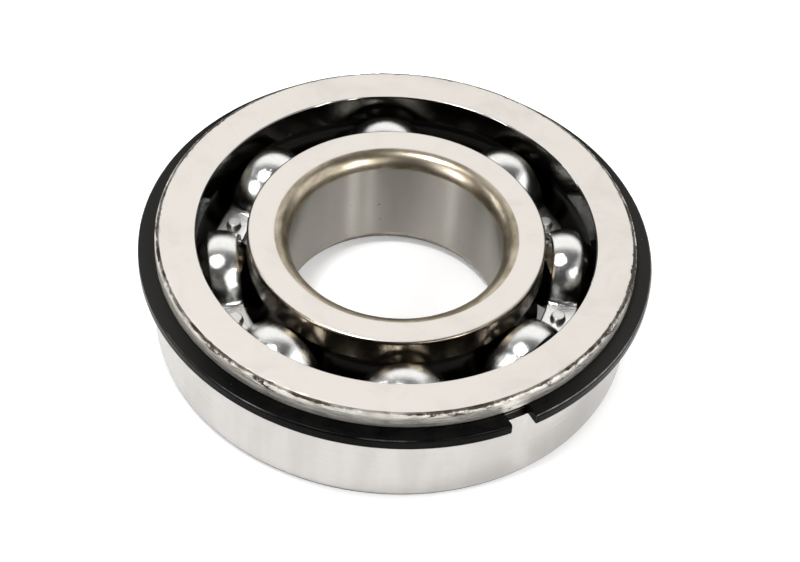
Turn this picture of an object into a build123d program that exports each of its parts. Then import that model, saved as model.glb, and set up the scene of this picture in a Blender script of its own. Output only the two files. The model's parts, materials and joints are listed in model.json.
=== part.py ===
from build123d import *
import os

# Single-row deep-groove ball bearing with a snap ring in the outer ring, in millimetres and degrees.
# The axis is Z. The bearing lies with its plain side on z = 0 and its snap-ring side up.

# Driving dimensions
BORE_DIAMETER = 40.0
OUTSIDE_DIAMETER = 90.0
WIDTH = 23.0
BALL_DIAMETER = 15.081
BALL_COUNT = 8
FIRST_BALL_ANGLE = 6.4

# Raceways: each groove is a little slacker than the ball, and its shoulder stands this high above its floor
RACEWAY_CONFORMITY = 0.525
BALL_CLEARANCE = 0.04
OUTER_SHOULDER_HEIGHT = 2.65
INNER_SHOULDER_HEIGHT = 3.05

# Corners of the two rings
BORE_CORNER = 3.3
PLAIN_SIDE_CORNER = 1.9
LAND_CORNER = 0.7
OUTER_SHOULDER_EDGE = 0.45
INNER_SHOULDER_EDGE = 0.6

# Snap-ring groove and snap ring
LAND_WIDTH = 3.2
GROOVE_DEPTH = 1.605
GROOVE_FLOOR_CORNER = 0.3
SNAP_RING_THICKNESS = 2.4
SNAP_RING_SECTION = 4.7
SNAP_RING_AXIAL_PLAY = 0.3
SNAP_RING_SEAT_CLEARANCE = 0.05
SNAP_RING_EDGE = 0.5
SNAP_RING_INNER_EDGE = 0.2
SNAP_RING_GAP = 5.0
SNAP_RING_GAP_ANGLE = -58.5

# Cage: two pressed halves of sheet, riveted between the balls
CAGE_SHEET = 1.0
POCKET_CLEARANCE = 0.15
CAGE_BEND = 1.4
CAGE_BAND_WIDTH = 5.9

# Rivets
RIVET_DIAMETER = 1.8
RIVET_HOLE_CLEARANCE = 0.03
RIVET_HEAD_BASE = 3.0
RIVET_HEAD_TOP = 2.4
RIVET_HEAD_HEIGHT = 1.1
RIVET_HEAD_EDGE = 0.2

# Derived sizes
bore_radius = BORE_DIAMETER / 2
outside_radius = OUTSIDE_DIAMETER / 2
ball_radius = BALL_DIAMETER / 2
mid_height = WIDTH / 2
pitch_radius = (bore_radius + outside_radius) / 2
raceway_radius = RACEWAY_CONFORMITY * BALL_DIAMETER
outer_floor_radius = pitch_radius + ball_radius + BALL_CLEARANCE
inner_floor_radius = pitch_radius - ball_radius - BALL_CLEARANCE
outer_shoulder_radius = outer_floor_radius - OUTER_SHOULDER_HEIGHT
inner_shoulder_radius = inner_floor_radius + INNER_SHOULDER_HEIGHT
groove_radius = outside_radius - GROOVE_DEPTH
groove_width = SNAP_RING_THICKNESS + SNAP_RING_AXIAL_PLAY
groove_bottom = WIDTH - LAND_WIDTH - groove_width
snap_ring_bottom = groove_bottom + SNAP_RING_AXIAL_PLAY / 2
snap_ring_inner_radius = groove_radius + SNAP_RING_SEAT_CLEARANCE
snap_ring_outer_radius = snap_ring_inner_radius + SNAP_RING_SECTION
pocket_radius = ball_radius + POCKET_CLEARANCE
dome_radius = pocket_radius + CAGE_SHEET
cage_inner_radius = pitch_radius - CAGE_BAND_WIDTH / 2
cage_outer_radius = pitch_radius + CAGE_BAND_WIDTH / 2
blank_radius = pitch_radius + dome_radius + 2 * (CAGE_BEND + CAGE_SHEET)
ball_step = 360 / BALL_COUNT

os.makedirs("parts", exist_ok=True)


def save(piece, name):
    """Label a finished piece and write its STEP file."""
    piece.label = name
    export_step(piece, f"parts/{name}.step")


def spot(angle):
    """Plane at the pitch circle and mid height, its x axis pointing out from the bearing's axis."""
    return Plane(Location((0, 0, mid_height), (0, 0, angle)) * Location((pitch_radius, 0, 0)))


# Outer ring: rectangular section with a raceway inside and the snap-ring groove outside
with BuildPart() as outer_ring:
    with BuildSketch(Plane.XZ) as outer_section:
        with Locations((outer_shoulder_radius, 0)):
            Rectangle(outside_radius - outer_shoulder_radius, WIDTH, align=Align.MIN)
        outside_corners = outer_section.vertices().group_by(Axis.X)[-1].sort_by(Axis.Z)
        fillet(outside_corners[0], PLAIN_SIDE_CORNER)
        fillet(outer_section.vertices().group_by(Axis.Z)[-1].sort_by(Axis.X)[-1], LAND_CORNER)
        fillet(outer_section.vertices().group_by(Axis.X)[0], OUTER_SHOULDER_EDGE)
        with Locations((outer_floor_radius - raceway_radius, mid_height)):
            Circle(raceway_radius, mode=Mode.SUBTRACT)
        with BuildSketch(Plane.XZ, mode=Mode.SUBTRACT) as groove_section:
            with Locations((groove_radius, groove_bottom)):
                Rectangle(SNAP_RING_SECTION, groove_width, align=Align.MIN)
            fillet(groove_section.vertices().group_by(Axis.X)[0], GROOVE_FLOOR_CORNER)
    revolve(axis=Axis.Z)
save(outer_ring.part, "outer_ring")

# Inner ring: rounded bore corners and a raceway outside
with BuildPart() as inner_ring:
    with BuildSketch(Plane.XZ) as inner_section:
        with Locations((bore_radius, 0)):
            Rectangle(inner_shoulder_radius - bore_radius, WIDTH, align=Align.MIN)
        fillet(inner_section.vertices().group_by(Axis.X)[0], BORE_CORNER)
        fillet(inner_section.vertices().group_by(Axis.X)[-1], INNER_SHOULDER_EDGE)
        with Locations((inner_floor_radius + raceway_radius, mid_height)):
            Circle(raceway_radius, mode=Mode.SUBTRACT)
    revolve(axis=Axis.Z)
save(inner_ring.part, "inner_ring")

# Balls
for index in range(BALL_COUNT):
    with BuildPart(spot(FIRST_BALL_ANGLE + index * ball_step)) as ball:
        Sphere(ball_radius)
    save(ball.part, f"ball_{index + 1}")

# Cage half: a sheet that runs flat between the pockets and domes over each ball
with BuildPart() as pocket_former:
    with Locations((0, 0, mid_height)):
        Cylinder(blank_radius, dome_radius, align=(Align.CENTER, Align.CENTER, Align.MAX))
        with PolarLocations(pitch_radius, BALL_COUNT, start_angle=FIRST_BALL_ANGLE):
            Sphere(pocket_radius)
    parting_plane_edges = pocket_former.edges().filter_by(GeomType.CIRCLE).filter_by(
        lambda edge: abs(edge.radius - pocket_radius) < CAGE_SHEET / 2 and abs(edge.center().Z - mid_height) < 0.01
    )
    fillet(parting_plane_edges, CAGE_BEND + CAGE_SHEET)

with BuildPart() as cage_half_upper:
    with Locations((0, 0, mid_height)):
        Cylinder(blank_radius, CAGE_SHEET, align=(Align.CENTER, Align.CENTER, Align.MIN))
        with PolarLocations(pitch_radius, BALL_COUNT, start_angle=FIRST_BALL_ANGLE):
            Sphere(dome_radius)
    bend_edges = cage_half_upper.edges().filter_by(GeomType.CIRCLE).filter_by(
        lambda edge: abs(edge.center().Z - mid_height - CAGE_SHEET) < 0.01 and edge.radius < dome_radius
    )
    fillet(bend_edges, CAGE_BEND)
    add(pocket_former.part, mode=Mode.SUBTRACT)
    with BuildSketch(Plane.XY.offset(mid_height)):
        Circle(cage_outer_radius)
        Circle(cage_inner_radius, mode=Mode.SUBTRACT)
        with PolarLocations(pitch_radius, BALL_COUNT, start_angle=FIRST_BALL_ANGLE + ball_step / 2):
            Circle(RIVET_DIAMETER / 2 + RIVET_HOLE_CLEARANCE, mode=Mode.SUBTRACT)
    extrude(amount=dome_radius + CAGE_SHEET, mode=Mode.INTERSECT)
save(cage_half_upper.part, "cage_half_upper")

cage_half_lower = mirror(cage_half_upper.part, about=Plane.XY.offset(mid_height))
save(cage_half_lower, "cage_half_lower")

# Rivets: a shank through both halves with a flat-topped head on each side
for index in range(BALL_COUNT):
    with BuildPart(spot(FIRST_BALL_ANGLE + (index + 0.5) * ball_step)) as rivet:
        Cylinder(RIVET_DIAMETER / 2, 2 * CAGE_SHEET)
        with Locations((0, 0, CAGE_SHEET)):
            Cone(
                RIVET_HEAD_BASE / 2,
                RIVET_HEAD_TOP / 2,
                RIVET_HEAD_HEIGHT,
                align=(Align.CENTER, Align.CENTER, Align.MIN),
            )
        fillet(rivet.faces().sort_by(Axis.Z)[-1].edges(), RIVET_HEAD_EDGE)
        mirror(about=Plane.XY.offset(mid_height))
    save(rivet.part, f"rivet_{index + 1}")

# Snap ring: an open ring of flat section with rounded edges and square-cut ends
with BuildPart() as snap_ring:
    with BuildSketch(Plane.XY.offset(snap_ring_bottom)):
        Circle(snap_ring_outer_radius)
        Circle(snap_ring_inner_radius, mode=Mode.SUBTRACT)
        with PolarLocations(outside_radius, 1, start_angle=SNAP_RING_GAP_ANGLE):
            Rectangle(2 * SNAP_RING_SECTION, SNAP_RING_GAP, mode=Mode.SUBTRACT)
    extrude(amount=SNAP_RING_THICKNESS)
    rim_edges = snap_ring.edges().filter_by(GeomType.CIRCLE).group_by(SortBy.RADIUS)
    fillet(rim_edges[-1], SNAP_RING_EDGE)
    fillet(snap_ring.edges().filter_by(GeomType.CIRCLE).group_by(SortBy.RADIUS)[0], SNAP_RING_INNER_EDGE)
save(snap_ring.part, "snap_ring")
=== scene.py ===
"""Looks for a deep-groove ball bearing: rings, riveted cage, balls, snap ring and a plain studio."""

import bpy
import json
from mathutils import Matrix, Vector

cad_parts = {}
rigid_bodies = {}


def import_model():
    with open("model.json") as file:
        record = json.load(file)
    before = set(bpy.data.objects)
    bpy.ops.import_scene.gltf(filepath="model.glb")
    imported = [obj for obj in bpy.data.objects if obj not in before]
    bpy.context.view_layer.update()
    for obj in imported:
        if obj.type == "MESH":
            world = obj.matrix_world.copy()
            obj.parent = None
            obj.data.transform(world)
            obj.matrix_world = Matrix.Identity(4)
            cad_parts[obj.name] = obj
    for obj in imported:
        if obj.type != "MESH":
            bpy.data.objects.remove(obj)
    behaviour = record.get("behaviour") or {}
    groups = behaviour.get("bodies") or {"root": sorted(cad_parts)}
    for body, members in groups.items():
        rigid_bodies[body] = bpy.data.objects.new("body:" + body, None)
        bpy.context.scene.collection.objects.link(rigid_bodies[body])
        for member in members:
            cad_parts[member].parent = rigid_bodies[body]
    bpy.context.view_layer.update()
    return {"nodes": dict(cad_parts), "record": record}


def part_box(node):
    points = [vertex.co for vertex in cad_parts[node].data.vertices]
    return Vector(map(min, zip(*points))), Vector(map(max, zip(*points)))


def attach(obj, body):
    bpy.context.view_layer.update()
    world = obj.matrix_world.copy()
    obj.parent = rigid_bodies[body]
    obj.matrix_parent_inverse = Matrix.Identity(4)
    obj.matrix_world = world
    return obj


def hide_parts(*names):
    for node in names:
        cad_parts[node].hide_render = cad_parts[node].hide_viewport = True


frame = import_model()

import json
import logging
import math
from dataclasses import dataclass
from enum import Enum
from typing import Any, Iterable, Sequence

import bmesh
import bpy
from mathutils import Matrix, Vector, noise

MM = 0.001
LOG = logging.getLogger("bearing")
MERGE_DISTANCE = 1e-7
RING_SHARP_DEGREES = 55.0
RACEWAY_INSET_DEGREES = 2.5
RACEWAY_STEPS = 26

Colour = tuple[float, float, float]
Point = tuple[float, float, float]


class Body(Enum):
    """Names of the moving bodies."""

    OUTER_RING = "outer_ring"
    INNER_RING = "inner_ring"
    CAGE = "cage"
    SNAP_RING = "snap_ring"


class Slot(Enum):
    """Material slots of the record."""

    OUTER_RING = "outer_ring_steel"
    INNER_RING = "inner_ring_steel"
    BALL = "ball_steel"
    CAGE = "cage_steel"
    RIVET = "rivet_steel"
    SNAP_RING = "black_oxide"


# ---------------------------------------------------------------- shader fields


def add_node(
    tree: bpy.types.NodeTree, kind: str, settings: dict[str, Any], inputs: dict[Any, Any]
) -> bpy.types.Node:
    """Add a node with its properties and its inputs.

    Args:
        tree: the node tree.
        kind: the node's type.
        settings: its properties, set first.
        inputs: numbers, vectors, colours, materials, sockets or values, by socket name or index.

    Returns:
        The node.
    """
    node = tree.nodes.new(kind)
    for key, value in settings.items():
        setattr(node, key, value)
    for key, value in inputs.items():
        link = value.socket if isinstance(value, Value) else value
        if isinstance(link, bpy.types.NodeSocket):
            tree.links.new(link, node.inputs[key])
        else:
            node.inputs[key].default_value = value
    return node


class Value:
    """A socket on its way through a shader, with arithmetic that adds Math nodes."""

    def __init__(self, shader: "Shader", socket: bpy.types.NodeSocket) -> None:
        """Hold the shader that the socket belongs to, and the socket."""
        self.shader = shader
        self.socket = socket

    def math(self, operation: str, *others: Any) -> "Value":
        """Apply a Math node to this value and further numbers or values."""
        operands = dict(enumerate((self, *others)))
        return self.shader.make("ShaderNodeMath", {"operation": operation}, operands)

    def __add__(self, other: Any) -> "Value":
        """Sum."""
        return self.math("ADD", other)

    __radd__ = __add__

    def __mul__(self, other: Any) -> "Value":
        """Product."""
        return self.math("MULTIPLY", other)

    __rmul__ = __mul__

    def __sub__(self, other: Any) -> "Value":
        """Difference."""
        return self.math("SUBTRACT", other)

    def __rsub__(self, other: Any) -> "Value":
        """Difference with this value taken away."""
        return self.shader.make("ShaderNodeMath", {"operation": "SUBTRACT"}, {0: other, 1: self})

    def __truediv__(self, other: Any) -> "Value":
        """Quotient."""
        return self.math("DIVIDE", other)

    def __pow__(self, other: Any) -> "Value":
        """Power."""
        return self.math("POWER", other)

    def clip(self) -> "Value":
        """Limit to the range 0 to 1."""
        return self.shader.make("ShaderNodeClamp", {}, {"Value": self})

    def rise(self, start: float, end: float) -> "Value":
        """Smooth step.

        Args:
            start: where the result leaves 0.
            end: where it reaches 1. It may be below start, for a falling step.

        Returns:
            A mask from 0 to 1.
        """
        low, high = min(start, end), max(start, end)
        inputs = {"Value": self, "From Min": low, "From Max": high}
        step = self.shader.make("ShaderNodeMapRange", {"interpolation_type": "SMOOTHSTEP"}, inputs)
        return step if end > start else 1 - step

    def band(self, start: float, end: float, soft: float) -> "Value":
        """Mask that is 1 between start and end and fades over soft outside them."""
        return self.rise(start - soft, start) * self.rise(end + soft, end)


class Shader:
    """A material with one Principled surface, built from expressions."""

    def __init__(self, name: str) -> None:
        """Start an empty material of that name."""
        self.material = bpy.data.materials.new(name)
        self.material.use_nodes = True
        self.tree = self.material.node_tree
        self.tree.nodes.clear()
        place = self.tree.nodes.new("ShaderNodeTexCoord").outputs["Object"]
        scaled = self.make("ShaderNodeVectorMath", {"operation": "SCALE"}, {0: place, "Scale": 1 / MM})
        parts = add_node(self.tree, "ShaderNodeSeparateXYZ", {}, {0: scaled})
        self.place = scaled
        self.x, self.y, self.z = (Value(self, out) for out in parts.outputs)
        self.r = ((self.x * self.x) + (self.y * self.y)) ** 0.5

    def make(self, kind: str, settings: dict[str, Any], inputs: dict[Any, Any], output: Any = 0) -> Value:
        """Add a node and return one of its outputs, chosen by name or index."""
        return Value(self, add_node(self.tree, kind, settings, inputs).outputs[output])

    def vector(self, x: Any, y: Any, z: Any) -> Value:
        """Join three numbers or values to a vector."""
        return self.make("ShaderNodeCombineXYZ", {}, {0: x, 1: y, 2: z})

    def stretched(self, x: float, y: float, z: float) -> Value:
        """Object position with each axis scaled, in lines per millimetre."""
        return self.make("ShaderNodeVectorMath", {"operation": "MULTIPLY"}, {0: self.place, 1: (x, y, z)})

    def around(self, turns: float, across: float, along: float) -> Value:
        """Seamless coordinates round the bearing's axis.

        Args:
            turns: how quickly a pattern changes round the axis.
            across: how quickly it changes with radius, per millimetre.
            along: how quickly it changes with height, per millimetre.

        Returns:
            A vector for a texture.
        """
        slide = self.r * across + self.z * along
        return self.vector(self.x / self.r * turns, self.y / self.r * turns, slide)

    def noise(
        self, vector: Value, scale: float = 1.0, detail: float = 2.0, rough: float = 0.5, warp: float = 0.0
    ) -> Value:
        """Noise between 0 and 1."""
        inputs = {"Vector": vector, "Scale": scale, "Detail": detail, "Roughness": rough, "Distortion": warp}
        return self.make("ShaderNodeTexNoise", {}, inputs)

    def turned(self, angle: float, x: float, y: float) -> Value:
        """Object position turned about the axis by angle degrees and stretched, for straight scratches."""
        inputs = {"Vector": self.place, "Rotation": (0, 0, math.radians(angle))}
        mapped = self.make("ShaderNodeMapping", {"vector_type": "POINT"}, inputs)
        return self.make("ShaderNodeVectorMath", {"operation": "MULTIPLY"}, {0: mapped, 1: (x, y, x)})

    def mix(self, share: Any, first: Any, second: Any) -> Value:
        """Blend two colours or values: a share of 0 gives the first and 1 the second."""
        one, two = ((*colour, 1) if isinstance(colour, tuple) else colour for colour in (first, second))
        return self.make("ShaderNodeMix", {"data_type": "RGBA"}, {0: share, 6: one, 7: two}, 2)

    def bump(self, height: Value, depth: float) -> Value:
        """Turn a height field, in which 1 stands for depth in millimetres, into a normal."""
        return self.make("ShaderNodeBump", {}, {"Height": height, "Distance": depth * MM, "Strength": 1.0})

    def surface(
        self, colour: Any, roughness: Any, metallic: Any = 1.0, normal: Value | None = None, **fixed: Any
    ) -> bpy.types.Material:
        """Close the material with a Principled surface. Names of further sockets have _ for a space."""
        inputs = {"Base Color": colour, "Roughness": roughness, "Metallic": metallic}
        if normal is not None:
            inputs["Normal"] = normal
        inputs.update({key.replace("_", " "): value for key, value in fixed.items()})
        made = self.make("ShaderNodeBsdfPrincipled", {}, inputs)
        add_node(self.tree, "ShaderNodeOutputMaterial", {}, {"Surface": made})
        return self.material


# ---------------------------------------------------------------- outlines and meshes


def add_object(name: str, data: Any) -> bpy.types.Object:
    """Link a new object of a mesh, light or camera to the scene."""
    made = bpy.data.objects.new(name, data)
    bpy.context.scene.collection.objects.link(made)
    return made


def evaluated_mesh(piece: bpy.types.Object) -> bpy.types.Mesh:
    """Plain mesh of an object with its modifiers applied."""
    bpy.context.view_layer.update()
    return bpy.data.meshes.new_from_object(piece.evaluated_get(bpy.context.evaluated_depsgraph_get()))


@dataclass(frozen=True)
class Corner:
    """A corner of a ring's section: its radius and height, and how far it is rounded, in millimetres."""

    radius: float
    height: float
    rounding: float = 0.0


@dataclass(frozen=True)
class Outline:
    """Closed section of a ring in the half-plane of radius and height."""

    corners: tuple[Corner, ...]
    arc_steps: int = 7
    support: float = 0.12

    def points(self) -> list[tuple[float, float]]:
        """Sample the outline, with arcs at the rounded corners and a support point beside each arc.

        Returns:
            Points of radius and height, in millimetres.
        """
        made: list[tuple[float, float]] = []
        count = len(self.corners)
        for index, corner in enumerate(self.corners):
            here = Vector((corner.radius, corner.height))
            if not corner.rounding:
                made.append(tuple(here))
                continue
            before = self.corners[index - 1]
            after = self.corners[(index + 1) % count]
            back = Vector((before.radius, before.height)) - here
            ahead = Vector((after.radius, after.height)) - here
            made += self._rounded(here, back, ahead, corner.rounding)
        return made

    def _rounded(
        self, here: Vector, back: Vector, ahead: Vector, rounding: float
    ) -> list[tuple[float, float]]:
        """Points of one rounded corner, from the side of back to the side of ahead."""
        one, two = back.normalized(), ahead.normalized()
        half = one.angle(two) / 2
        reach = rounding / math.tan(half)
        centre = here + (one + two).normalized() * (rounding / math.sin(half))
        start, end = here + one * reach - centre, here + two * reach - centre
        sweep = start.angle(end)
        points = []
        if back.length > reach + 3 * self.support:
            points.append(tuple(here + one * (reach + self.support)))
        for step in range(self.arc_steps + 1):
            share = step / self.arc_steps
            mixed = (start * math.sin((1 - share) * sweep) + end * math.sin(share * sweep)) / math.sin(sweep)
            points.append(tuple(centre + mixed))
        if ahead.length > reach + 3 * self.support:
            points.append(tuple(here + two * (reach + self.support)))
        return points


def arc_corners(
    centre: float, height: float, radius: float, start: float, end: float, steps: int
) -> list[Corner]:
    """Corners along an arc of a raceway.

    Args:
        centre: the arc centre's distance from the axis.
        height: the arc centre's height.
        radius: the arc's radius.
        start: first angle in degrees, from the outward direction.
        end: last angle.
        steps: the number of spans.

    Returns:
        Unrounded corners.
    """
    angles = (math.radians(start + (end - start) * step / steps) for step in range(steps + 1))
    return [Corner(centre + radius * math.cos(a), height + radius * math.sin(a)) for a in angles]


class NodeTree:
    """A geometry node tree with named inputs."""

    def __init__(self, name: str, inputs: dict[str, str]) -> None:
        """Start a tree.

        Args:
            name: the tree's name.
            inputs: socket types by input name.
        """
        self.tree = bpy.data.node_groups.new(name, "GeometryNodeTree")
        self.tree.is_modifier = True
        self.tree.interface.new_socket("Geometry", in_out="OUTPUT", socket_type="NodeSocketGeometry")
        self.ids = {
            key: self.tree.interface.new_socket(key, in_out="INPUT", socket_type=kind).identifier
            for key, kind in inputs.items()
        }
        self.given = self.tree.nodes.new("NodeGroupInput").outputs

    def make(self, kind: str, settings: dict[str, Any], inputs: dict[Any, Any]) -> bpy.types.NodeOutputs:
        """Add a node and return its outputs."""
        return add_node(self.tree, kind, settings, inputs).outputs

    def close(self, geometry: bpy.types.NodeSocket) -> None:
        """End the tree in Realize Instances and Set Material."""
        real = self.make("GeometryNodeRealizeInstances", {}, {0: geometry})[0]
        finish = {"Geometry": real, "Material": self.given["Material"]}
        dressed = self.make("GeometryNodeSetMaterial", {}, finish)[0]
        self.tree.links.new(dressed, self.tree.nodes.new("NodeGroupOutput").inputs[0])

    def run(self, source: bpy.types.Object, name: str, values: dict[str, Any]) -> bpy.types.Object:
        """Apply the tree to an object and turn the result into a plain mesh object.

        Args:
            source: the object that holds the starting mesh. It is removed.
            name: the new object's name.
            values: input values by name.

        Returns:
            The new object.
        """
        modifier = source.modifiers.new("shape", "NODES")
        modifier.node_group = self.tree
        for key, value in values.items():
            modifier[self.ids[key]] = value
        mesh = evaluated_mesh(source)
        mesh.name = name
        source.modifiers.remove(modifier)
        bpy.data.objects.remove(source)
        return add_object(name, mesh)


def revolve_tree() -> NodeTree:
    """Build the tree that turns an outline, given as loose points in the XZ plane, about the Z axis."""
    built = NodeTree(
        "revolved outline",
        {"Geometry": "NodeSocketGeometry", "Segments": "NodeSocketInt", "Material": "NodeSocketMaterial"},
    )
    outline, segments = built.given["Geometry"], built.given["Segments"]

    def whole(operation: str, first: Any, second: Any) -> bpy.types.NodeSocket:
        """Integer sum, product, quotient or remainder."""
        return built.make("FunctionNodeIntegerMath", {"operation": operation}, {0: first, 1: second})[0]

    def real(operation: str, first: Any, second: Any = 0.0) -> bpy.types.NodeSocket:
        """Real sum, product, quotient, sine or cosine."""
        return built.make("ShaderNodeMath", {"operation": operation}, {0: first, 1: second})[0]

    count = built.make("GeometryNodeAttributeDomainSize", {"component": "MESH"}, {0: outline})["Point Count"]
    row = whole("ADD", count, 1)
    grid = built.make(
        "GeometryNodeMeshGrid", {}, {"Vertices X": whole("ADD", segments, 1), "Vertices Y": row}
    )["Mesh"]
    index = built.make("GeometryNodeInputIndex", {}, {})[0]
    along = whole("MODULO", whole("MODULO", index, row), count)
    angle = real("MULTIPLY", real("DIVIDE", whole("DIVIDE_FLOOR", index, row), segments), math.tau)
    position = built.make("GeometryNodeInputPosition", {}, {})[0]
    sampled = built.make(
        "GeometryNodeSampleIndex",
        {"data_type": "FLOAT_VECTOR", "domain": "POINT"},
        {"Geometry": outline, "Value": position, "Index": along},
    )[0]
    parts = built.make("ShaderNodeSeparateXYZ", {}, {0: sampled})
    placed = built.make(
        "ShaderNodeCombineXYZ",
        {},
        {
            0: real("MULTIPLY", parts[0], real("COSINE", angle)),
            1: real("MULTIPLY", parts[0], real("SINE", angle)),
            2: parts[2],
        },
    )[0]
    turned = built.make("GeometryNodeSetPosition", {}, {"Geometry": grid, "Position": placed})[0]
    merged = {"Geometry": turned, "Distance": MERGE_DISTANCE}
    built.close(built.make("GeometryNodeMergeByDistance", {}, merged)[0])
    return built


def circle_of_copies_tree() -> NodeTree:
    """Build the tree that sets copies of a piece evenly on a circle."""
    built = NodeTree(
        "circle of copies",
        {
            "Geometry": "NodeSocketGeometry",
            "Count": "NodeSocketInt",
            "Radius": "NodeSocketFloat",
            "Height": "NodeSocketFloat",
            "First Angle": "NodeSocketFloat",
            "Material": "NodeSocketMaterial",
        },
    )
    given = built.given
    circle = {"Vertices": given["Count"], "Radius": given["Radius"]}
    ring = built.make("GeometryNodeMeshCircle", {}, circle)[0]
    turn = built.make("ShaderNodeCombineXYZ", {}, {2: given["First Angle"]})[0]
    lift = built.make("ShaderNodeCombineXYZ", {}, {2: given["Height"]})[0]
    moved = {"Geometry": ring, "Translation": lift, "Rotation": turn}
    copies = {"Points": built.make("GeometryNodeTransform", {}, moved)[0], "Instance": given["Geometry"]}
    built.close(built.make("GeometryNodeInstanceOnPoints", {}, copies)[0])
    return built


def loose_points(name: str, points: Iterable[Sequence[float]]) -> bpy.types.Object:
    """Make an object of unconnected points in the XZ plane, from radii and heights in millimetres."""
    return mesh_piece(name, [(r, 0.0, z) for r, z in points], [])


def mesh_piece(name: str, points: list[Sequence[float]], faces: list[Sequence[int]]) -> bpy.types.Object:
    """Make an object from points in millimetres and faces."""
    mesh = bpy.data.meshes.new(name)
    mesh.from_pydata([(x * MM, y * MM, z * MM) for x, y, z in points], [], faces)
    return add_object(name, mesh)


def quads(width: int, rows: int, closed: bool) -> list[Sequence[int]]:
    """Faces between neighbouring rows of points that each go once round a section."""
    return [
        (row * width + k, row * width + (k + 1) % width, after * width + (k + 1) % width, after * width + k)
        for row in range(rows if closed else rows - 1)
        for after in ((row + 1) % rows,)
        for k in range(width)
    ]


def smooth(piece: bpy.types.Object, sharp_degrees: float = 40.0) -> None:
    """Shade smoothly up to edges that turn by more than an angle."""
    piece.data.shade_smooth()
    piece.data.set_sharp_from_angle(angle=math.radians(sharp_degrees))


def finish_mesh(piece: bpy.types.Object, sharp_degrees: float = 40.0) -> None:
    """Merge doubles, turn the faces outwards and shade smoothly up to a sharp angle.

    Args:
        piece: the object.
        sharp_degrees: edges that turn by more than this stay sharp.
    """
    work = bmesh.new()
    work.from_mesh(piece.data)
    bmesh.ops.remove_doubles(work, verts=work.verts, dist=MERGE_DISTANCE)
    bmesh.ops.recalc_face_normals(work, faces=work.faces)
    if work.calc_volume(signed=True) < 0:
        bmesh.ops.reverse_faces(work, faces=work.faces)
    work.to_mesh(piece.data)
    work.free()
    smooth(piece, sharp_degrees)


def turned_piece(
    revolve: NodeTree,
    name: str,
    outline: Outline,
    segments: int,
    material: bpy.types.Material,
    sharp_degrees: float = 40.0,
) -> bpy.types.Object:
    """Revolve an outline into a finished piece of one material."""
    source = loose_points(f"{name} outline", outline.points())
    piece = revolve.run(source, name, {"Segments": segments, "Material": material})
    finish_mesh(piece, sharp_degrees)
    dress(piece, material)
    return piece


def dress(piece: bpy.types.Object, material: bpy.types.Material) -> None:
    """Give a piece one material."""
    piece.data.materials.clear()
    piece.data.materials.append(material)


def hand_over(piece: bpy.types.Object, body: str, slot: Slot, *nodes: str) -> None:
    """Ride on a body, stand for its nodes and report the piece.

    Args:
        piece: the finished object.
        body: the body's name.
        slot: the record's slot; not used.
        nodes: the nodes that the piece stands for.
    """
    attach(piece, body)
    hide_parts(*nodes)
    LOG.info("%s: %d faces on %s", piece.name, len(piece.data.polygons), body)


# ---------------------------------------------------------------- sizes


@dataclass(frozen=True)
class Sizes:
    """Sizes of the bearing in millimetres, read from the frame, with the few that its boxes don't show."""

    width: float
    outside_radius: float
    bore_radius: float
    ball_radius: float
    pitch_radius: float
    first_ball_angle: float
    ball_count: int
    cage_outer_radius: float
    rivet_reach: float
    snap_ring_radius: float
    snap_ring_bottom: float
    snap_ring_top: float
    ball_clearance: float = 0.04
    conformity: float = 0.525

    @property
    def middle(self) -> float:
        """Height of the balls' centres."""
        return self.width / 2

    @property
    def raceway_radius(self) -> float:
        """Radius of the raceways' section."""
        return 2 * self.ball_radius * self.conformity

    def raceway(self, centre: float, reach: float, facing: float) -> tuple[list[Corner], float]:
        """Corners along a raceway, and how far its opening rises over the middle plane.

        Args:
            centre: distance of the raceway's centre from the axis.
            reach: distance from that centre to the shoulder, along the radius.
            facing: 0 for a raceway outside its centre and 180 for one on the axis's side, in degrees.

        Returns:
            The corners, from the top down for 0 and from the bottom up for 180, and the rise.
        """
        half = math.degrees(math.acos(reach / self.raceway_radius))
        start, end = half - RACEWAY_INSET_DEGREES, RACEWAY_INSET_DEGREES - half
        arc = arc_corners(
            centre, self.middle, self.raceway_radius, facing + start, facing + end, RACEWAY_STEPS
        )
        return arc, self.raceway_radius * math.sin(math.radians(half))

    @classmethod
    def read(cls) -> "Sizes":
        """Read the sizes from the frame."""
        low, high = (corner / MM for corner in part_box("outer_ring"))
        mounts = {mount["name"]: mount for mount in frame["record"]["mounts"]}
        balls = sorted(name for name in frame["nodes"] if name.startswith("ball_"))
        ball_low, ball_high = (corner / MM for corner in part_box(balls[0]))
        centre = (ball_low + ball_high) / 2
        cage_low, cage_high = (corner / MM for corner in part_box("cage_half_upper"))
        rivet_low, rivet_high = (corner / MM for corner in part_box("rivet_1"))
        snap_low, snap_high = (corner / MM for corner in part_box("snap_ring"))
        return cls(
            width=high.z - low.z,
            outside_radius=mounts["housing_seat"]["dims"]["r_mm"],
            bore_radius=mounts["shaft_bore"]["dims"]["r_mm"],
            ball_radius=(ball_high.z - ball_low.z) / 2,
            pitch_radius=math.hypot(centre.x, centre.y),
            first_ball_angle=math.atan2(centre.y, centre.x),
            ball_count=len(balls),
            cage_outer_radius=(cage_high.x - cage_low.x) / 2,
            rivet_reach=(rivet_high.z - rivet_low.z) / 2,
            snap_ring_radius=(snap_high.x - snap_low.x) / 2,
            snap_ring_bottom=snap_low.z,
            snap_ring_top=snap_high.z,
        )


# ---------------------------------------------------------------- finishes


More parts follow.
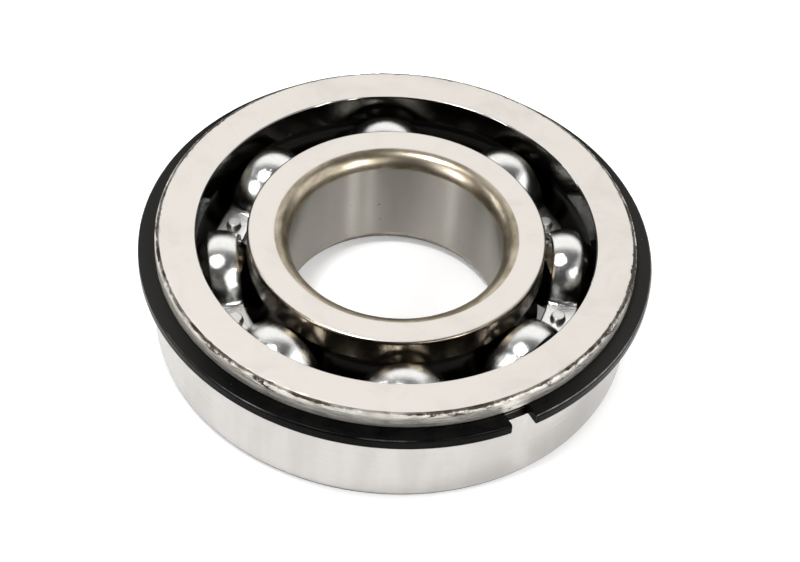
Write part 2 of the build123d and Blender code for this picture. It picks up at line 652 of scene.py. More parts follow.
@dataclass(frozen=True)
class GroundSteel:
    """Ground and worn steel of a ring, zone by zone.

    The zones are the flat side faces, the ground cylinder, the rounded corners and the side with the raceway,
    which takes a deep tone as painted shade.
    """

    name: str
    face: Colour = (0.70, 0.665, 0.625)
    face_stain: Colour = (0.52, 0.49, 0.45)
    seat: Colour = (0.47, 0.455, 0.437)
    # Painted shade: a deep tone for the side with the raceway, standing for the shade between the rings.
    shade_tone: Colour = (0.03, 0.028, 0.023)
    face_roughness: float = 0.36
    seat_roughness: float = 0.2
    dark_roughness: float = 0.2
    smudge_scale: float = 0.09
    smudge_start: float = 0.42
    smudge_share: float = 0.35
    scratch_angles: tuple[float, ...] = (18.0, 64.0, 121.0)
    scratches_per_mm: float = 2.6
    scratch_level: float = 0.69

    def faces(self, shader: Shader, width: float) -> Value:
        """Mask of the two flat side faces."""
        return shader.z.rise(width - 0.05, width - 0.012) + shader.z.rise(0.05, 0.012)

    def scratches(self, shader: Shader) -> Value:
        """Mask of thin straight scratches."""
        mask = None
        for angle in self.scratch_angles:
            lines = shader.noise(shader.turned(angle, 0.05, self.scratches_per_mm), 1.0, 3.0, 0.6)
            lines = lines.rise(self.scratch_level, self.scratch_level + 0.08)
            mask = lines if mask is None else mask.math("MAXIMUM", lines)
        return mask

    def ground_face(self, shader: Shader) -> tuple[Value, Value, Value, Value]:
        """Colour of the side faces, with the smudges, grain and scratches that it is made of."""
        smudge = shader.noise(shader.place, self.smudge_scale, 4.0, 0.6, 0.8)
        grain = shader.noise(shader.place, 2.2, 4.0, 0.7)
        scratch = self.scratches(shader)
        soiled = smudge.rise(self.smudge_start, 0.8) * self.smudge_share + grain * 0.16 + scratch * 0.2
        return shader.mix(soiled.clip(), self.face, self.face_stain), smudge, grain, scratch


@dataclass(frozen=True)
class OuterRingSteel(GroundSteel):
    """Outer ring: bright seat, bruised and stained land beside the snap ring."""

    name: str = "outer ring ground steel"
    seat_dull: Colour = (0.36, 0.345, 0.328)
    # Painted shade, partly the turned finish: the tone of the outside's bottom corner.
    heel_shade_tone: Colour = (0.055, 0.05, 0.043)
    land_bright: Colour = (0.66, 0.64, 0.60)
    land_dull: Colour = (0.36, 0.335, 0.29)
    turning_stain: Colour = (0.17, 0.145, 0.11)
    blot_stain: Colour = (0.03, 0.022, 0.016)
    rim_stain: Colour = (0.04, 0.031, 0.022)
    # Painted shade for the snap-ring groove.
    groove_shade: Colour = (0.02, 0.014, 0.01)
    bare: Colour = (0.88, 0.86, 0.83)
    inner_depth: float = 4.0

    def make(
        self, sizes: Sizes, shoulder: float, land_bottom: float, groove_bottom: float
    ) -> bpy.types.Material:
        """Build the material from the radius of the shoulder and the heights of the land and groove."""
        s = Shader(self.name)
        edge = sizes.outside_radius
        face = self.faces(s, sizes.width)
        # Mask of the ring's inside, the shoulder and raceway, which is coloured near black as painted shade.
        inner = s.r.rise(edge - self.inner_depth, edge - self.inner_depth - 0.6) * (1 - face)
        land = s.z.rise(land_bottom - 0.05, land_bottom + 0.1) * (1 - face) * (1 - inner)
        groove = s.z.band(groove_bottom + 0.1, land_bottom - 0.1, 0.1)
        groove = s.r.rise(edge - 0.05, edge - 0.25) * groove * (1 - inner)
        face_colour, smudge, grain, scratch = self.ground_face(s)
        seat_lines = s.noise(s.stretched(0.05, 0.05, 9.0), 1.0, 4.0, 0.7)
        seat_cloud = s.noise(s.around(7.0, 0.0, 0.03), 1.0, 3.0, 0.6)
        seat_dulled = (seat_lines * 0.25 + seat_cloud.rise(0.4, 0.65) * 0.35).clip()
        seat_colour = s.mix(seat_dulled, self.seat, self.seat_dull)
        blot = s.noise(s.around(10.0, 1.3, 1.3), 1.0, 5.0, 0.72, 0.3)
        wear_where = s.noise(s.around(1.4, 0.0, 0.0), 1.0, 2.0)
        blot = blot + wear_where * 0.5 + s.z.rise(land_bottom, sizes.width) * 0.08
        blot_mask = blot.rise(0.84, 0.94)
        streak = s.noise(s.around(12.0, 1.2, 1.2), 1.0, 4.0, 0.65)
        land_colour = s.mix(streak.rise(0.35, 0.75), self.land_bright, self.land_dull)
        turning = s.noise(s.around(3.0, 5.0, 7.0), 1.0, 3.0, 0.6).rise(0.5, 0.62)
        land_colour = s.mix(turning * 0.6, land_colour, self.turning_stain)
        land_colour = s.mix(blot_mask, land_colour, self.blot_stain)
        nick = s.noise(s.around(30.0, 2.6, 2.6), 1.0, 3.0, 0.6).rise(0.69, 0.74)
        land_colour = s.mix(nick, land_colour, self.bare)
        rim_noise = s.noise(s.around(9.0, 1.0, 1.0), 1.0, 5.0, 0.7)
        rim = (s.z + (rim_noise - 0.5) * 0.9).rise(sizes.width - 0.3, sizes.width - 0.2)
        rim = rim * s.r.rise(edge - 0.84, edge - 0.76)
        rim_mask = (rim * (0.6 + rim_noise.rise(0.4, 0.6) * 0.4) * (1 - nick * 0.8)).clip()
        colour = s.mix(face, seat_colour, face_colour)
        # Painted shade, partly the turned finish: the bottom corner of the outside is coloured near black,
        # with less metal and more roughness, for the line where it meets the floor.
        heel_shade = s.z.rise(1.5, 1.1) * (1 - face) * (1 - inner)
        colour = s.mix(heel_shade, colour, self.heel_shade_tone)
        colour = s.mix(land, colour, land_colour)
        colour = s.mix(rim_mask, colour, self.rim_stain)
        # The painted shade is eased on the rounded lip of the inner top edge, which leaves a lighter line
        # there, a painted highlight.
        lip = s.z.band(sizes.width - 0.22, sizes.width - 0.02, 0.04)
        lip = lip * s.r.rise(shoulder + 0.55, shoulder + 0.4)
        # Painted shade: the inside is coloured near black.
        colour = s.mix((inner * (1 - lip * 0.45)).clip(), colour, self.shade_tone)
        # Painted shade: the snap-ring groove, a recess under the snap ring, is coloured near black.
        colour = s.mix(groove, colour, self.groove_shade)
        rough = self.seat_roughness + seat_lines * 0.12
        rough = rough + face * (self.face_roughness - self.seat_roughness + smudge * 0.1)
        rough = rough + land * (0.3 + blot_mask * 0.12) + groove * 0.4 + heel_shade * 0.5
        rough = (rough + scratch * face * 0.08).clip()
        rough = rough * (1 - inner) + inner * (self.dark_roughness - lip * 0.13)
        height = seat_lines * (1 - face) * 0.5 + grain * face * 0.6 - scratch * face * 0.8
        normal = s.bump(height - blot_mask * land * 2.0 + nick * land * 1.5, 0.004)
        metallic = (1 - blot_mask * land * 0.5 - groove * 0.4 - heel_shade * 0.9).clip()
        return s.surface(colour, rough, metallic, normal)


@dataclass(frozen=True)
class InnerRingSteel(GroundSteel):
    """Inner ring: ground side faces, olive-stained bore corners and a bronze-tinted outer side.

    The straight bore wall has a steel of its own. The outer side's bronze tone is deepened, and its raceway
    is coloured near black, both as painted shade.
    """

    name: str = "inner ring ground steel"
    corner: Colour = (0.44, 0.385, 0.30)
    corner_stain: Colour = (0.19, 0.158, 0.108)
    # Painted shade for the lowest part of the bore corner, where the ring meets the floor.
    foot_shade: Colour = (0.045, 0.039, 0.031)
    # Painted shade: the outer side's bronze tone is made deep for the shade between the rings; the bronze
    # tint is its own.
    shade_tone: Colour = (0.17, 0.14, 0.10)
    dark_patch: Colour = (0.07, 0.055, 0.038)
    # Painted shade: the raceway is near black.
    race_shade: Colour = (0.03, 0.026, 0.02)
    race_start: float = 4.8
    race_inset: float = 5.6
    smudge_scale: float = 0.11
    smudge_start: float = 0.45
    smudge_share: float = 0.3
    scratch_angles: tuple[float, ...] = (7.0, 83.0, 140.0)

    def make(
        self, sizes: Sizes, shoulder: float, bore_corner: float, edge_rounding: float
    ) -> bpy.types.Material:
        """Build the material from the shoulder's radius and the rounding of the bore's and its edges."""
        s = Shader(self.name)
        bore = sizes.bore_radius
        face = self.faces(s, sizes.width)
        corner = s.r.rise(bore + bore_corner + 0.3, bore + bore_corner - 0.05) * (1 - face)
        # Zone of the outer side that is coloured as painted shade; it spares the rounded edges at the top and
        # bottom.
        outer = s.r.rise(shoulder - edge_rounding * 1.1, shoulder - edge_rounding * 0.3)
        outer = outer + s.z.band(self.race_start, sizes.width - self.race_start, 0.2)
        outer = outer.clip() * s.r.rise(bore + 1.0, bore + 2.0)
        outer = outer * s.z.band(edge_rounding * 0.3, sizes.width - edge_rounding * 0.3, edge_rounding * 0.6)
        face_colour, smudge, grain, scratch = self.ground_face(s)
        stain = s.noise(s.around(2.6, 0.25, 0.25), 1.0, 5.0, 0.6)
        corner_colour = s.mix(stain.rise(0.35, 0.7), self.corner, self.corner_stain)
        patch = s.noise(s.around(5.0, 0.1, 0.1), 1.0, 3.0, 0.6)
        # Painted shade on the outer side, with random patches of a deeper tone, and near black on the
        # raceway.
        outer_shade_colour = s.mix(patch.rise(0.42, 0.66), self.shade_tone, self.dark_patch)
        race_shade = s.z.band(self.race_inset, sizes.width - self.race_inset, 0.4)
        outer_shade_colour = s.mix(race_shade, outer_shade_colour, self.race_shade)
        colour = s.mix(corner, face_colour, corner_colour)
        # Painted shade: the lowest part of the bore corner is coloured near black.
        colour = s.mix(corner * s.z.rise(3.0, 1.7), colour, self.foot_shade)
        colour = s.mix(outer, colour, outer_shade_colour)
        rough = 0.2 + face * (self.face_roughness - 0.2 + smudge * 0.1 + scratch * 0.08)
        rough = rough + corner * (stain * 0.14 + 0.03) + outer * 0.04
        height = grain * (face * 0.6 + corner * 0.7) - scratch * face * 0.8
        return s.surface(colour, rough.clip(), 1.0, s.bump(height, 0.004))


@dataclass(frozen=True)
class BoreSteel:
    """Ground bore wall. Its grinding lines run round the bore, so highlights spread up and down it."""

    name: str = "ground bore steel"
    bright: Colour = (0.36, 0.34, 0.31)
    worn: Colour = (0.22, 0.205, 0.18)
    pitted: Colour = (0.10, 0.08, 0.06)

    def make(self) -> bpy.types.Material:
        """Build the material."""
        s = Shader(self.name)
        lines = s.noise(s.stretched(0.06, 0.06, 10.0), 1.0, 4.0, 0.7)
        cloud = s.noise(s.around(5.0, 0.0, 0.05), 1.0, 3.0)
        pit = s.noise(s.place, 1.1, 2.0, 0.5).rise(0.735, 0.78)
        colour = s.mix((lines * 0.45 + cloud * 0.3).clip(), self.bright, self.worn)
        colour = s.mix(pit, colour, self.pitted)
        rough = (0.28 + lines * 0.06 + cloud * 0.05 + pit * 0.2).clip()
        normal = s.bump(lines * 0.5 - pit * 2.0, 0.004)
        return s.surface(colour, rough, 1.0, normal, Anisotropic=1.0, Anisotropic_Rotation=0.25)


@dataclass(frozen=True)
class TumbledSteel:
    """Pressed sheet after tumbling: bright, with a fine hammered grain and small dents."""

    name: str = "tumbled cage steel"
    bright: Colour = (0.76, 0.76, 0.75)
    dull: Colour = (0.50, 0.495, 0.48)

    def make(self) -> bpy.types.Material:
        """Build the material."""
        s = Shader(self.name)
        grain = s.noise(s.place, 4.2, 2.0, 0.7)
        dent = s.noise(s.place, 0.9, 3.0, 0.55)
        fleck = s.make(
            "ShaderNodeTexVoronoi", {"feature": "F1"}, {"Vector": s.place, "Scale": 2.6, "Randomness": 1.0}
        ).rise(0.32, 0.12)
        colour = s.mix((dent * 0.35 + fleck * 0.25).clip(), self.bright, self.dull)
        rough = (0.13 + grain * 0.1 + fleck * 0.05).clip()
        return s.surface(colour, rough, 1.0, s.bump(grain * 1.2 + dent * 0.2 - fleck * 0.2, 0.024))


@dataclass(frozen=True)
class PlainSteel:
    """Steel of one shade: polished for balls, satin for rivets."""

    name: str
    shade: Colour
    shadow: Colour
    roughness: float
    spread: float
    grain_scale: float
    depth: float

    def make(self) -> bpy.types.Material:
        """Build the material."""
        s = Shader(self.name)
        cloud = s.noise(s.place, 0.5, 3.0)
        grain = s.noise(s.place, self.grain_scale, 3.0, 0.6)
        colour = s.mix((cloud.rise(0.4, 0.75) * 0.7 + grain * 0.2).clip(), self.shade, self.shadow)
        rough = (self.roughness + grain * self.spread).clip()
        return s.surface(colour, rough, 1.0, s.bump(grain, self.depth))


BALL_STEEL = PlainSteel(
    "oily ball steel", (0.30, 0.30, 0.28), (0.20, 0.195, 0.18), roughness=0.06, spread=0.05, grain_scale=4.0,
    depth=0.0004,
)
RIVET_STEEL = PlainSteel(
    "satin rivet steel", (0.70, 0.69, 0.67), (0.46, 0.45, 0.43), roughness=0.24, spread=0.16, grain_scale=3.0,
    depth=0.006,
)


@dataclass(frozen=True)
class BlackOxide:
    """Black-oxided spring steel: near black, semi-gloss, rubbed on its edges, with a painted sheen that makes
    it greyer towards +X and -X.
    """

    name: str = "black oxide"
    deep: Colour = (0.001, 0.001, 0.0011)
    cloudy: Colour = (0.0035, 0.0034, 0.0032)
    # Painted sheen for the ring's sides towards +X and -X.
    sheen_grey: Colour = (0.017, 0.0165, 0.0155)
    bare: Colour = (0.36, 0.35, 0.34)

    def make(self, sizes: Sizes, edge: float) -> bpy.types.Material:
        """Build the material, for a ring whose outer edges are rounded by edge."""
        s = Shader(self.name)
        cloud = s.noise(s.place, 0.2, 4.0, 0.6)
        grain = s.noise(s.place, 5.0, 3.0, 0.6)
        reach = sizes.snap_ring_radius
        # The rubbed rim on the upper half of the outer rounding is partly real edge wear and partly a painted
        # highlight: its bare metal gives the thin bright line along that edge.
        rim = s.r.band(reach - edge * 0.5, reach - edge * 0.25, 0.05)
        rubbed = s.noise(s.around(40.0, 0.5, 1.0), 1.0, 4.0, 0.7)
        speck = s.noise(s.place, 1.5, 2.0, 0.5).rise(0.79, 0.81)
        where = s.noise(s.around(1.6, 0.0, 0.0), 1.0, 2.0).rise(0.42, 0.62)
        bare = (rim * where * (0.3 + rubbed.rise(0.45, 0.75) * 0.6) + speck * 0.7).clip()
        colour = s.mix(cloud.rise(0.35, 0.7), self.deep, self.cloudy)
        # Painted sheen: the ring is coloured greyer towards +X and -X, its left and right as the camera sees
        # it.
        side_sheen = (s.x * s.x).rise(500.0, 1900.0)
        colour = s.mix(side_sheen, colour, self.sheen_grey)
        colour = s.mix(bare, colour, self.bare)
        rough = (0.14 + grain * 0.1 + cloud * 0.06 - bare * 0.06).clip()
        return s.surface(colour, rough, bare, s.bump(grain, 0.0012), IOR=1.1)


# ---------------------------------------------------------------- sub-assemblies


@dataclass
class OuterRing:
    """Outer ring with its raceway, snap-ring groove and bruised land."""

    sizes: Sizes
    revolve: NodeTree
    shoulder_height: float = 2.65
    shoulder_edge: float = 0.34
    land_width: float = 3.2
    groove_width: float = 2.7
    groove_depth: float = 1.605
    groove_corner: float = 0.3
    groove_lip: float = 0.06
    plain_corner: float = 1.9
    land_corner: float = 0.85
    raceway_lip: float = 0.1
    segments: int = 540
    bruise_depth: float = 0.11

    @property
    def shoulder(self) -> float:
        """Radius of the shoulder beside the raceway."""
        s = self.sizes
        return s.pitch_radius + s.ball_radius + s.ball_clearance - self.shoulder_height

    @property
    def land_bottom(self) -> float:
        """Height of the land's lower edge, the groove's upper side."""
        return self.sizes.width - self.land_width

    def outline(self) -> Outline:
        """Section of the ring."""
        s = self.sizes
        edge, groove = s.outside_radius, s.outside_radius - self.groove_depth
        bottom = self.land_bottom - self.groove_width
        centre = s.pitch_radius + s.ball_radius + s.ball_clearance - s.raceway_radius
        arc, rise = s.raceway(centre, self.shoulder - centre, 0.0)
        return Outline(
            (
                Corner(self.shoulder, 0, self.shoulder_edge),
                Corner(edge, 0, self.plain_corner),
                Corner(edge, bottom, self.groove_lip),
                Corner(groove, bottom, self.groove_corner),
                Corner(groove, self.land_bottom, self.groove_corner),
                Corner(edge, self.land_bottom, self.groove_lip),
                Corner(edge, s.width, self.land_corner),
                Corner(edge - self.land_corner - 0.5, s.width),
                Corner(self.shoulder, s.width, self.shoulder_edge),
                Corner(self.shoulder, s.middle + rise, self.raceway_lip),
                *arc,
                Corner(self.shoulder, s.middle - rise, self.raceway_lip),
            )
        )

    def bruise(self, piece: bpy.types.Object) -> None:
        """Press small dents into the land and its upper corner, always towards the ring's inside."""
        s = self.sizes
        for vertex in piece.data.vertices:
            radius = math.hypot(vertex.co.x, vertex.co.y) / MM
            height = vertex.co.z / MM
            if radius < s.outside_radius - self.land_corner - 0.1 or height < self.land_bottom + 0.3:
                continue
            corner_share = min(1.0, max(0.0, (height - s.width + 1.6) / 1.2))
            spot = Vector((vertex.co.x, vertex.co.y, vertex.co.z * 1.4)) / MM
            where = 0.5 + 0.5 * noise.noise(spot * 0.07)
            dent = max(0.0, noise.noise(spot * 0.9) - 0.12) + 0.6 * max(0.0, noise.noise(spot * 2.1) - 0.1)
            depth = min(self.bruise_depth, dent * where * corner_share * self.bruise_depth * 3.2)
            inward = Vector((-vertex.co.x, -vertex.co.y, 0)).normalized()
            inward.z = -0.8 if height > s.width - self.land_corner else 0.0
            vertex.co += inward * depth * MM

    def build(self) -> None:
        """Build, dress and hand over the ring."""
        s = self.sizes
        bottom = self.land_bottom - self.groove_width
        steel = OuterRingSteel().make(s, self.shoulder, self.land_bottom, bottom)
        piece = turned_piece(
            self.revolve, "outer_ring_ground", self.outline(), self.segments, steel, RING_SHARP_DEGREES
        )
        self.bruise(piece)
        hand_over(piece, Body.OUTER_RING.value, Slot.OUTER_RING, "outer_ring")


@dataclass
class InnerRing:
    """Inner ring with its bore, rounded bore corners and raceway."""

    sizes: Sizes
    revolve: NodeTree
    shoulder_height: float = 3.05
    bore_corner: float = 3.3
    shoulder_edge: float = 0.6
    raceway_lip: float = 0.1
    segments: int = 480

    def build(self) -> None:
        """Build, dress and hand over the ring."""
        s = self.sizes
        floor = s.pitch_radius - s.ball_radius - s.ball_clearance
        shoulder = floor + self.shoulder_height
        centre = floor + s.raceway_radius
        arc, rise = s.raceway(centre, centre - shoulder, 180.0)
        outline = Outline(
            (
                Corner(s.bore_radius, 0, self.bore_corner),
                Corner(shoulder, 0, self.shoulder_edge),
                Corner(shoulder, s.middle - rise, self.raceway_lip),
                *arc,
                Corner(shoulder, s.middle + rise, self.raceway_lip),
                Corner(shoulder, s.width, self.shoulder_edge),
                Corner(s.bore_radius, s.width, self.bore_corner),
            ),
            arc_steps=12,
        )
        steel = InnerRingSteel().make(s, shoulder, self.bore_corner, self.shoulder_edge)
        piece = turned_piece(
            self.revolve, "inner_ring_ground", outline, self.segments, steel, RING_SHARP_DEGREES
        )
        piece.data.materials.append(BoreSteel().make())
        for face in piece.data.polygons:
            if math.hypot(face.center.x, face.center.y) / MM < s.bore_radius + 0.02:
                face.material_index = 1
        hand_over(piece, Body.INNER_RING.value, Slot.INNER_RING, "inner_ring")


@dataclass
class Balls:
    """The balls, each on a body of its own."""

    sizes: Sizes
    cuts: int = 27

    def build(self) -> None:
        """Build, dress and hand over each ball."""
        steel = BALL_STEEL.make()
        pattern = bmesh.new()
        bmesh.ops.create_cube(pattern, size=2.0)
        bmesh.ops.subdivide_edges(pattern, edges=pattern.edges[:], cuts=self.cuts, use_grid_fill=True)
        for vertex in pattern.verts:
            spread = Vector(math.tan(part * math.pi / 4) for part in vertex.co)
            vertex.co = spread.normalized() * self.sizes.ball_radius * MM
        for index in range(self.sizes.ball_count):
            node = f"ball_{index + 1}"
            low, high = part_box(node)
            mesh = bpy.data.meshes.new(f"{node}_lapped")
            pattern.to_mesh(mesh)
            mesh.transform(Matrix.Translation((low + high) / 2))
            piece = add_object(mesh.name, mesh)
            finish_mesh(piece)
            dress(piece, steel)
            hand_over(piece, node, Slot.BALL, node)
        pattern.free()


@dataclass
class CageHalf:
    """Half of the pressed cage: a sheet that runs flat between the pockets and domes over each ball."""

    sizes: Sizes
    side: int
    material: bpy.types.Material
    sheet: float = 1.0
    pocket_clearance: float = 0.15
    bend: float = 1.4
    edge: float = 0.28
    dome_steps: int = 26
    bend_steps: int = 8
    web_steps: int = 5
    across_steps: int = 14
    edge_steps: int = 5
    rivet_radius: float = 0.93

    @property
    def inner_radius(self) -> float:
        """Inner radius of the band."""
        return 2 * self.sizes.pitch_radius - self.sizes.cage_outer_radius

    def skin(self, dome: float, flat: float, bend: float, share: float, radius: float) -> tuple[float, float]:
        """Find a point of one of the sheet's two skins, from a pocket's middle to the next web's middle.

        Args:
            dome: the skin's radius round the ball's centre.
            flat: the skin's height over the middle plane at the web.
            bend: the radius of the bend between dome and web.
            share: 0 at the pocket's middle, 1 at the web's middle. The spans are those of the steps.
            radius: distance from the bearing's axis.

        Returns:
            The angle from the pocket's middle, in radians, and the height over the middle plane.
        """
        pitch = self.sizes.pitch_radius
        aside = radius - pitch
        bend_height = flat + bend
        bend_distance = math.sqrt((dome + bend) ** 2 - bend_height**2)
        touch_distance = bend_distance * dome / (dome + bend)
        tilt = math.atan2(bend_distance, bend_height)
        total = self.dome_steps + self.bend_steps + self.web_steps
        step = share * total
        if step <= self.dome_steps:
            reach = math.sqrt(dome**2 - aside**2)
            last = math.asin(math.sqrt(touch_distance**2 - aside**2) / reach)
            turn = last * step / self.dome_steps
            run, height = reach * math.sin(turn), reach * math.cos(turn)
            return self.angle_at(math.hypot(run, aside), radius), height
        if step <= self.dome_steps + self.bend_steps:
            turn = tilt * (1 - (step - self.dome_steps) / self.bend_steps)
            distance = bend_distance - bend * math.sin(turn)
            return self.angle_at(distance, radius), bend_height - bend * math.cos(turn)
        first = self.angle_at(bend_distance, radius)
        web_share = (step - self.dome_steps - self.bend_steps) / self.web_steps
        return first + (math.pi / self.sizes.ball_count - first) * web_share, flat

    def angle_at(self, distance: float, radius: float) -> float:
        """Angle round the axis to a point at that radius and that distance from the pocket's middle."""
        pitch = self.sizes.pitch_radius
        cosine = (radius**2 + pitch**2 - distance**2) / (2 * radius * pitch)
        return math.acos(max(-1.0, min(1.0, cosine)))

    def section(self) -> list[tuple[float, float]]:
        """Walk round the sheet's section, from the outer skin round the rim to the inner skin and back.

        Returns:
            Pairs of radius and depth, where depth is 0 on the outer skin and 1 on the inner.
        """
        low, high, edge = self.inner_radius, self.sizes.cage_outer_radius, self.edge
        span, steps = high - low - 2 * edge, self.across_steps
        across = [low + edge + span * k / steps for k in range(steps + 1)]
        angles = [math.pi / 2 * k / self.edge_steps for k in range(1, self.edge_steps + 1)]
        depth = edge / self.sheet
        rim_out = [(high - edge + edge * math.sin(a), depth * (1 - math.cos(a))) for a in angles]
        rim_in = [(radius, 1 - down) for radius, down in reversed(rim_out)]
        back_in = [(low + high - radius, 1 - down) for radius, down in rim_out]
        back_out = [(low + high - radius, down) for radius, down in reversed(rim_out)]
        top = [(radius, 0.0) for radius in across]
        under = [(radius, 1.0) for radius in reversed(across)]
        return [*top, *rim_out, *rim_in, *under, *back_in, *back_out]

    def build(self) -> bpy.types.Object:
        """Build the half and cut its rivet holes."""
        s = self.sizes
        inner_dome = s.ball_radius + self.pocket_clearance
        total = self.dome_steps + self.bend_steps + self.web_steps
        section = self.section()
        points: list[Point] = []
        rows = 0
        for pocket in range(s.ball_count):
            middle = s.first_ball_angle + pocket * math.tau / s.ball_count
            for step in range(-total, total):
                share, turn = abs(step) / total, math.copysign(1.0, step)
                for radius, depth in section:
                    outer = self.skin(inner_dome + self.sheet, self.sheet, self.bend, share, radius)
                    inner = self.skin(inner_dome, 0.0, self.bend + self.sheet, share, radius)
                    angle = middle + turn * (outer[0] + (inner[0] - outer[0]) * depth)
                    height = s.middle + self.side * (outer[1] + (inner[1] - outer[1]) * depth)
                    points.append((radius * math.cos(angle), radius * math.sin(angle), height))
                rows += 1
        name = "cage_half_upper_pressed" if self.side > 0 else "cage_half_lower_pressed"
        half = mesh_piece(name, points, quads(len(section), rows, closed=True))
        finish_mesh(half)
        self.punch(half)
        dress(half, self.material)
        return half

    def punch(self, half: bpy.types.Object) -> None:
        """Cut the rivet holes through the webs."""
        s = self.sizes
        punches = bmesh.new()
        for index in range(s.ball_count):
            angle = s.first_ball_angle + (index + 0.5) * math.tau / s.ball_count
            spot = Vector((math.cos(angle), math.sin(angle), 0)) * s.pitch_radius * MM
            spot.z = s.middle * MM
            bmesh.ops.create_cone(
                punches,
                cap_ends=True,
                segments=32,
                radius1=self.rivet_radius * MM,
                radius2=self.rivet_radius * MM,
                depth=4 * self.sheet * MM,
                matrix=Matrix.Translation(spot),
            )
        mesh = bpy.data.meshes.new("punches")
        punches.to_mesh(mesh)
        punches.free()
        tool = add_object("punches", mesh)
        cut = half.modifiers.new("holes", "BOOLEAN")
        cut.operation, cut.solver, cut.object = "DIFFERENCE", "EXACT", tool
        result = evaluated_mesh(half)
        half.modifiers.remove(cut)
        half.data = result
        half.data.name = half.name
        bpy.data.objects.remove(tool)
        smooth(half)


@dataclass
class Cage:
    """The riveted cage: two pressed halves and the rivets between the balls."""

    sizes: Sizes
    revolve: NodeTree
    copies: NodeTree
    sheet: float = 1.0
    shank_radius: float = 0.9
    head_base: float = 1.5
    head_top: float = 1.2
    head_edge: float = 0.2
    head_foot: float = 0.03
    rivet_segments: int = 40

    def build(self) -> None:
        """Build, dress and hand over the halves and the rivets."""
        s = self.sizes
        steel = TumbledSteel().make()
        for side, node in ((1, "cage_half_upper"), (-1, "cage_half_lower")):
            half = CageHalf(s, side, steel, sheet=self.sheet).build()
            hand_over(half, Body.CAGE.value, Slot.CAGE, node)
        reach = s.rivet_reach
        outline = Outline(
            (
                Corner(0, -reach),
                Corner(self.head_top, -reach, self.head_edge),
                Corner(self.head_base, -self.sheet, self.head_foot),
                Corner(self.shank_radius, -self.sheet, self.head_foot),
                Corner(self.shank_radius, self.sheet, self.head_foot),
                Corner(self.head_base, self.sheet, self.head_foot),
                Corner(self.head_top, reach, self.head_edge),
                Corner(0, reach),
            ),
            arc_steps=5,
        )
        satin = RIVET_STEEL.make()
        rivet = turned_piece(self.revolve, "rivet", outline, self.rivet_segments, satin)
        rivets = self.copies.run(
            rivet,
            "rivets_upset",
            {
                "Count": s.ball_count,
                "Radius": s.pitch_radius * MM,
                "Height": s.middle * MM,
                "First Angle": s.first_ball_angle + math.pi / s.ball_count,
                "Material": satin,
            },
        )
        dress(rivets, satin)
        nodes = [f"rivet_{index + 1}" for index in range(s.ball_count)]
        hand_over(rivets, Body.CAGE.value, Slot.RIVET, *nodes)


@dataclass
class SnapRing:
    """Open black spring-steel ring with square-cut ends."""

    sizes: Sizes
    section: float = 4.7
    edge: float = 0.5
    inner_edge: float = 0.2
    end_edge: float = 0.15
    end_steps: int = 4
    gap: float = 5.0
    gap_angle: float = -58.5
    segments: int = 420

    def build(self) -> None:
        """Build, dress and hand over the ring."""
        s = self.sizes
        outer, inner = s.snap_ring_radius, s.snap_ring_radius - self.section
        bottom, top = s.snap_ring_bottom, s.snap_ring_top
        outline = Outline(
            (
                Corner(inner, bottom, self.inner_edge),
                Corner(outer, bottom, self.edge),
                Corner(outer, top, self.edge),
                Corner(inner, top, self.inner_edge),
            ),
            arc_steps=8,
        ).points()
        middle = Vector(((inner + outer) / 2, (bottom + top) / 2))
        turns = [math.pi / 2 * step / self.end_steps for step in range(self.end_steps + 1)]
        inset = [(self.end_edge * (1 - math.sin(a)), self.end_edge * (1 - math.cos(a))) for a in turns]
        stations = [(0.0, side, back) for side, back in inset]
        stations += [(step / self.segments, 0.0, self.end_edge) for step in range(1, self.segments)]
        stations += [(1.0, side, back) for side, back in reversed(inset)]
        points: list[Point] = []
        for share, side, back in stations:
            for radius, height in outline:
                spot = Vector((radius, height))
                pull = middle - spot
                spot += Vector([math.copysign(min(abs(part), side), part) for part in pull])
                reach = math.asin((self.gap / 2 + back) / spot.x)
                angle = math.radians(self.gap_angle) + reach + share * (math.tau - 2 * reach)
                points.append((spot.x * math.cos(angle), spot.x * math.sin(angle), spot.y))
        width, rows = len(outline), len(stations)
        faces = quads(width, rows, closed=False)
        faces.append(list(range(width)))
        faces.append([(rows - 1) * width + k for k in range(width)])
        piece = mesh_piece("snap_ring_oxided", points, faces)
        finish_mesh(piece)
        dress(piece, BlackOxide().make(s, self.edge))
        hand_over(piece, Body.SNAP_RING.value, Slot.SNAP_RING, "snap_ring")


# ---------------------------------------------------------------- studio


@dataclass(frozen=True)
class Softbox:
    """A soft light that faces the bearing."""

    name: str
    azimuth: float
    elevation: float
    distance: float
    width: float
    height: float
    radiance: float
    round: bool = False
    colour: Colour = (1.0, 1.0, 1.0)

    def build(self) -> None:
        """Hang the light. The azimuth is in degrees from +X towards +Y."""
        light = bpy.data.lights.new(self.name, "AREA")
        light.shape = "ELLIPSE" if self.round else "RECTANGLE"
        light.size, light.size_y = self.width, self.height
        area = self.width * self.height * (math.pi / 4 if self.round else 1.0)
        light.energy = self.radiance * math.pi * area
        light.color = self.colour
        azimuth, elevation = math.radians(self.azimuth), math.radians(self.elevation)
        flat = math.cos(elevation)
        way = Vector((flat * math.cos(azimuth), flat * math.sin(azimuth), math.sin(elevation)))
        lamp = add_object(self.name, light)
        lamp.location = way * self.distance
        lamp.rotation_euler = way.to_track_quat("Z", "Y").to_euler()
        lamp.visible_camera = False


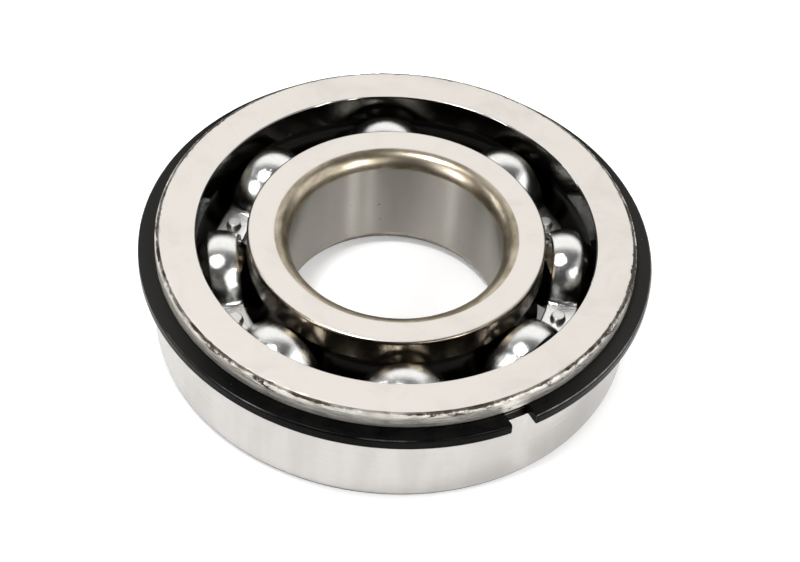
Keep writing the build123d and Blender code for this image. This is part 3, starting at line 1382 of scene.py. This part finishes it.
@dataclass(frozen=True)
class Studio:
    """Pale floor, soft lights, sky and the camera."""

    floor_size: float = 8.0
    camera_back: float = 342.4
    camera_up: float = 366.05
    look_down: float = 46.114
    look_aside: float = 0.217
    lean: float = 4.526
    lens: float = 117.0
    floor_glow: float = 0.2
    lights: tuple[Softbox, ...] = (
        Softbox("back panel", 90, 41, 1.3, 1.96, 1.15, 1.0, colour=(1.0, 0.99, 0.975)),
        Softbox("top lamp", -155, 75, 0.8, 0.15, 0.15, 58.0, round=True),
        Softbox("right panel", -15, 34, 0.9, 1.15, 0.74, 1.6),
        Softbox("left panel", -143, 28, 0.9, 0.48, 0.64, 2.0),
        Softbox("right tube", -42, 34, 0.95, 0.03, 0.5, 60.0),
        Softbox("outer right tube", -60, 34, 0.95, 0.025, 0.5, 50.0),
        Softbox("left tube", -144, 34, 0.95, 0.03, 0.5, 52.0),
        Softbox("rear left tube", 164, 32, 0.95, 0.03, 0.4, 34.0),
    )

    def camera(self) -> None:
        """Set the camera at the chosen viewing angle."""
        down, aside, lean = (math.radians(value) for value in (self.look_down, self.look_aside, self.lean))
        ahead = Vector((math.sin(aside) * math.cos(down), math.cos(aside) * math.cos(down), -math.sin(down)))
        level = ahead.cross(Vector((0, 0, 1))).normalized()
        upright = level.cross(ahead)
        right = level * math.cos(lean) + upright * math.sin(lean)
        up = upright * math.cos(lean) - level * math.sin(lean)
        lens = bpy.data.cameras.new("camera")
        lens.lens, lens.sensor_width, lens.sensor_fit = self.lens, 36.0, "HORIZONTAL"
        made = add_object("camera", lens)
        place = Matrix.Translation(Vector((0, -self.camera_back, self.camera_up)) * MM)
        made.matrix_world = place @ Matrix((right, up, -ahead)).transposed().to_4x4()
        bpy.context.scene.camera = made

    def floor(self) -> None:
        """Lay the floor."""
        half = self.floor_size / 2
        mesh = bpy.data.meshes.new("floor")
        corners = [(-half, -half, 0), (half, -half, 0), (half, half, 0), (-half, half, 0)]
        mesh.from_pydata(corners, [], [(0, 1, 2, 3)])
        floor = add_object("floor", mesh)
        shader = Shader("white floor")
        paper = shader.noise(shader.place, 0.02, 2.0)
        colour = shader.mix(paper, (0.93, 0.93, 0.93), (0.95, 0.95, 0.95))
        white = {"Emission_Color": (1.0, 1.0, 1.0, 1.0), "Emission_Strength": self.floor_glow}
        dress(floor, shader.surface(colour, 0.9, 0.0, **white))

    def sky(self) -> None:
        """Fill the surroundings with soft light, brighter behind the bearing than in front."""
        world = bpy.data.worlds.new("studio")
        world.use_nodes = True
        tree = world.node_tree
        tree.nodes.clear()
        place = add_node(tree, "ShaderNodeTexCoord", {}, {})
        parts = add_node(tree, "ShaderNodeSeparateXYZ", {}, {0: place.outputs["Generated"]})
        levels = {"From Min": -0.4, "From Max": 0.9, "To Min": 0.06, "To Max": 0.4}
        levels["Value"] = parts.outputs["Y"]
        ramp = add_node(tree, "ShaderNodeMapRange", {"interpolation_type": "SMOOTHSTEP"}, levels)
        glow = add_node(tree, "ShaderNodeBackground", {}, {"Strength": ramp.outputs[0]})
        add_node(tree, "ShaderNodeOutputWorld", {}, {"Surface": glow.outputs[0]})
        bpy.context.scene.world = world

    def build(self) -> None:
        """Set up the studio."""
        bpy.context.scene.view_settings.view_transform = "Standard"
        self.camera()
        self.floor()
        self.sky()
        for light in self.lights:
            light.build()


def main() -> None:
    """Build the bearing and its studio."""
    logging.basicConfig(level=logging.INFO, format="%(message)s")
    sizes = Sizes.read()
    revolve = revolve_tree()
    Studio().build()
    OuterRing(sizes, revolve).build()
    InnerRing(sizes, revolve).build()
    Balls(sizes).build()
    Cage(sizes, revolve, circle_of_copies_tree()).build()
    SnapRing(sizes).build()


if __name__ == "__main__":
    main()
